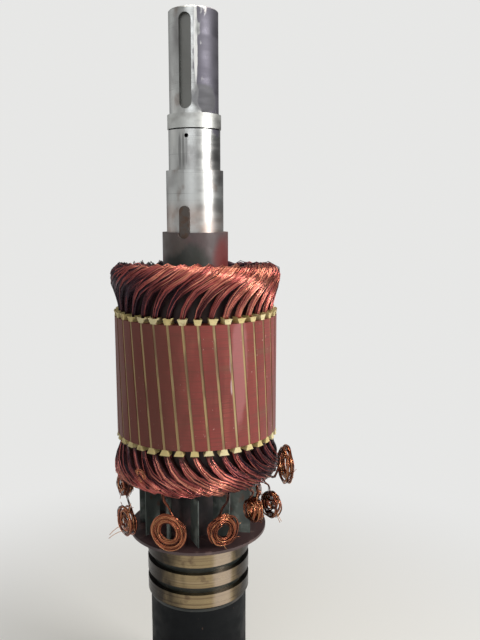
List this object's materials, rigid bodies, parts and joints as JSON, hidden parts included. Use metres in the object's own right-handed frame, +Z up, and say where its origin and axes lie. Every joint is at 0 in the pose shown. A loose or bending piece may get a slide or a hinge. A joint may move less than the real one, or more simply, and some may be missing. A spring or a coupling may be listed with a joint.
{
  "type": "wound motor rotor on a pipe stand",
  "caption": "Wound rotor of a slip ring motor, standing on end: stepped keyed shaft, skewed slotted core, copper end windings, coiled leads, fan disc and slip rings, on a pipe stand.",
  "frame": {"origin": "centre of the stand's foot, on the floor", "axes": "+Z up along the shaft, -Y towards the front, +X to the right seen from the front"},
  "size_m": [0.3347, 0.3, 1.314],
  "materials": {
    "blade_paint": "grey green paint",
    "bush_iron": "dark",
    "core_varnish": "red brown varnish over laminated steel",
    "disc_paint": "red brown primer",
    "hub_iron": "dark, rusty",
    "key_steel": "steel with light rust",
    "lead_copper": "enamelled copper wire",
    "plate_varnish": "red brown varnish",
    "ring_brass": "worn brass",
    "ring_insulation": "black insulation",
    "ring_steel": "turned steel",
    "shaft_steel": "turned steel, worn",
    "slot_paper": "insulating paper",
    "slot_strip": "varnished strip",
    "stand_paint": "nearly black paint",
    "winding_copper": "enamelled copper wire"
  },
  "bodies": {
    "root": {"fan_blades": "blade_paint", "fan_disc": "disc_paint", "hub_key": "key_steel", "lead_coil_01": "lead_copper", "lead_coil_02": "lead_copper", "lead_coil_03": "lead_copper", "lead_coil_04": "lead_copper", "lead_coil_05": "lead_copper", "lead_coil_06": "lead_copper", "lead_coil_07": "lead_copper", "lead_coil_08": "lead_copper", "lead_coil_09": "lead_copper", "lead_coil_10": "lead_copper", "lead_tail_01": "lead_copper", "lead_tail_02": "lead_copper", "lead_tail_03": "lead_copper", "lead_tail_04": "lead_copper", "lead_tail_05": "lead_copper", "lead_tail_06": "lead_copper", "lead_tail_07": "lead_copper", "lead_tail_08": "lead_copper", "lead_tail_09": "lead_copper", "lead_tail_10": "lead_copper", "lower_coil_ends": "winding_copper", "lower_end_plate": "plate_varnish", "lower_hub": "hub_iron", "ring_insulators": "ring_insulation", "rotor_core": "core_varnish", "seal_ring": "ring_steel", "shaft": "shaft_steel", "slip_ring_1": "ring_brass", "slip_ring_2": "ring_brass", "slip_ring_3": "ring_brass", "slip_ring_bush": "bush_iron", "slot_coil_sides": "winding_copper", "slot_liners": "slot_paper", "slot_wedges": "slot_strip", "stand_foot": "stand_paint", "stand_pipe": "stand_paint", "upper_coil_ends": "winding_copper", "upper_end_plate": "plate_varnish", "upper_hub": "hub_iron"}
  },
  "joints": []
}
